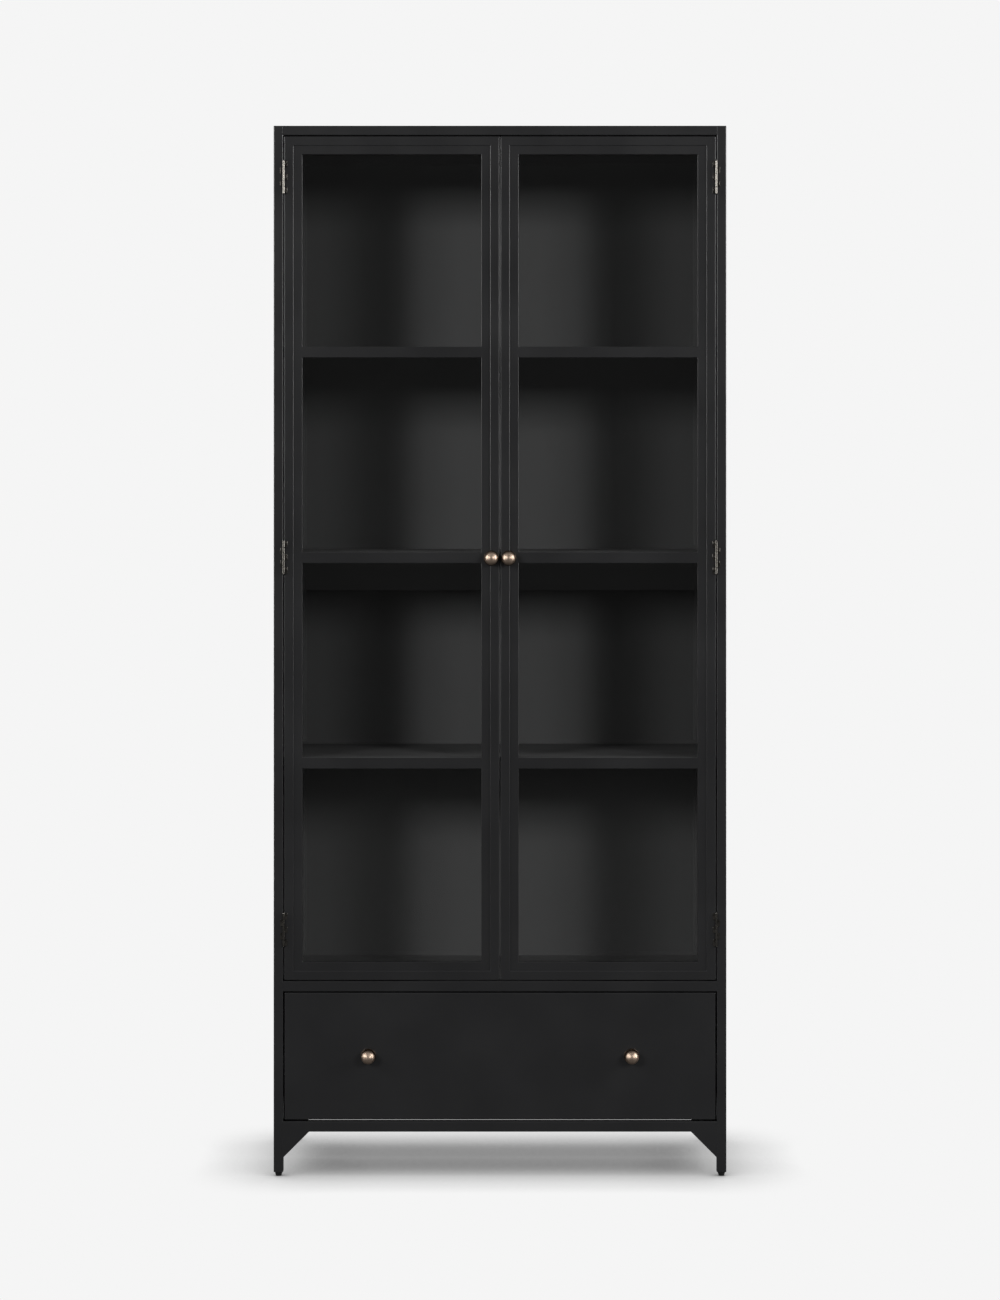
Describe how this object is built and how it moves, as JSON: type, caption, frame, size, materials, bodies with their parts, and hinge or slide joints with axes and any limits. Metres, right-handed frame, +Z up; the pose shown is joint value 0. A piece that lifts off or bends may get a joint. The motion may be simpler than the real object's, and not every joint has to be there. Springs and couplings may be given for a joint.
{
  "type": "apothecary cabinet",
  "caption": "Tall black steel display cabinet with a pair of glazed doors over fixed shelves, one wide drawer, and short bracketed legs.",
  "frame": {"origin": "floor level under the middle of the bounding box, knobs included", "axes": "+Z up, -Y towards the doors' front, +X to the right as seen from the front"},
  "size_m": [0.9524, 0.43, 2.21],
  "materials": {
    "black_powder_coat": "satin black powder coat with a very fine orange peel",
    "bright_steel": "bright nickel-plated steel hinges",
    "zinc_plate": "zinc-plated drawer slides",
    "antique_brass": "antique brass, aged brown in the low places and rubbed bright on the ball",
    "clear_glass": "clear float glass with polished edges",
    "black_nylon": "black moulded nylon"
  },
  "bodies": {
    "carcass": {"post_front_left": "black_powder_coat", "post_front_right": "black_powder_coat", "post_back_left": "black_powder_coat", "post_back_right": "black_powder_coat", "foot_front_left": "black_nylon", "foot_front_right": "black_nylon", "foot_back_left": "black_nylon", "foot_back_right": "black_nylon", "top_rail_front": "black_powder_coat", "top_rail_back": "black_powder_coat", "middle_rail": "black_powder_coat", "bottom_rail_front": "black_powder_coat", "bottom_rail_back": "black_powder_coat", "leg_bracket_left": "black_powder_coat", "leg_bracket_right": "black_powder_coat", "side_panel_left": "black_powder_coat", "side_panel_right": "black_powder_coat", "back_panel": "black_powder_coat", "top_panel": "black_powder_coat", "floor_panel": "black_powder_coat", "shelf_lower": "black_powder_coat", "shelf_middle": "black_powder_coat", "shelf_upper": "black_powder_coat", "magnetic_catch": "black_nylon", "hinge_bottom_left_frame_leaf": "bright_steel", "hinge_bottom_left_pin": "bright_steel", "hinge_middle_left_frame_leaf": "bright_steel", "hinge_middle_left_pin": "bright_steel", "hinge_top_left_frame_leaf": "bright_steel", "hinge_top_left_pin": "bright_steel", "hinge_bottom_right_frame_leaf": "bright_steel", "hinge_bottom_right_pin": "bright_steel", "hinge_middle_right_frame_leaf": "bright_steel", "hinge_middle_right_pin": "bright_steel", "hinge_top_right_frame_leaf": "bright_steel", "hinge_top_right_pin": "bright_steel", "slide_outer_left": "zinc_plate", "slide_outer_right": "zinc_plate"},
    "left_door": {"door_frame_left": "black_powder_coat", "door_glass_left": "clear_glass", "glass_retainer_left": "black_powder_coat", "door_knob_left": "antique_brass", "hinge_bottom_left_door_leaf": "bright_steel", "hinge_middle_left_door_leaf": "bright_steel", "hinge_top_left_door_leaf": "bright_steel"},
    "right_door": {"door_frame_right": "black_powder_coat", "door_glass_right": "clear_glass", "glass_retainer_right": "black_powder_coat", "door_knob_right": "antique_brass", "hinge_bottom_right_door_leaf": "bright_steel", "hinge_middle_right_door_leaf": "bright_steel", "hinge_top_right_door_leaf": "bright_steel"},
    "drawer": {"drawer_front": "black_powder_coat", "drawer_box": "black_powder_coat", "drawer_knob_left": "antique_brass", "drawer_knob_right": "antique_brass", "slide_inner_left": "zinc_plate", "slide_inner_right": "zinc_plate"},
    "left_slide_middle": {"slide_middle_left": "zinc_plate"},
    "right_slide_middle": {"slide_middle_right": "zinc_plate"}
  },
  "joints": [
    {"name": "left_door_hinge", "type": "hinge", "parent": "carcass", "child": "left_door", "pos_m": [-0.455, -0.1879, 1.302], "axis": [0, 0, -1], "range_deg": [0, 170]},
    {"name": "right_door_hinge", "type": "hinge", "parent": "carcass", "child": "right_door", "pos_m": [0.455, -0.1879, 1.302], "axis": [0, 0, 1], "range_deg": [0, 170]},
    {"name": "drawer_slide", "type": "slide", "parent": "carcass", "child": "drawer", "axis": [0, -1, 0], "range_m": [0, 0.32]},
    {"name": "left_slide_travel", "type": "slide", "parent": "carcass", "child": "left_slide_middle", "axis": [0, -1, 0], "range_m": [0, 0.16]},
    {"name": "right_slide_travel", "type": "slide", "parent": "carcass", "child": "right_slide_middle", "axis": [0, -1, 0], "range_m": [0, 0.16]}
  ],
  "couplings": [
    {"joint": "left_slide_travel", "follows": "drawer_slide", "ratio": 0.5},
    {"joint": "right_slide_travel", "follows": "drawer_slide", "ratio": 0.5}
  ]
}
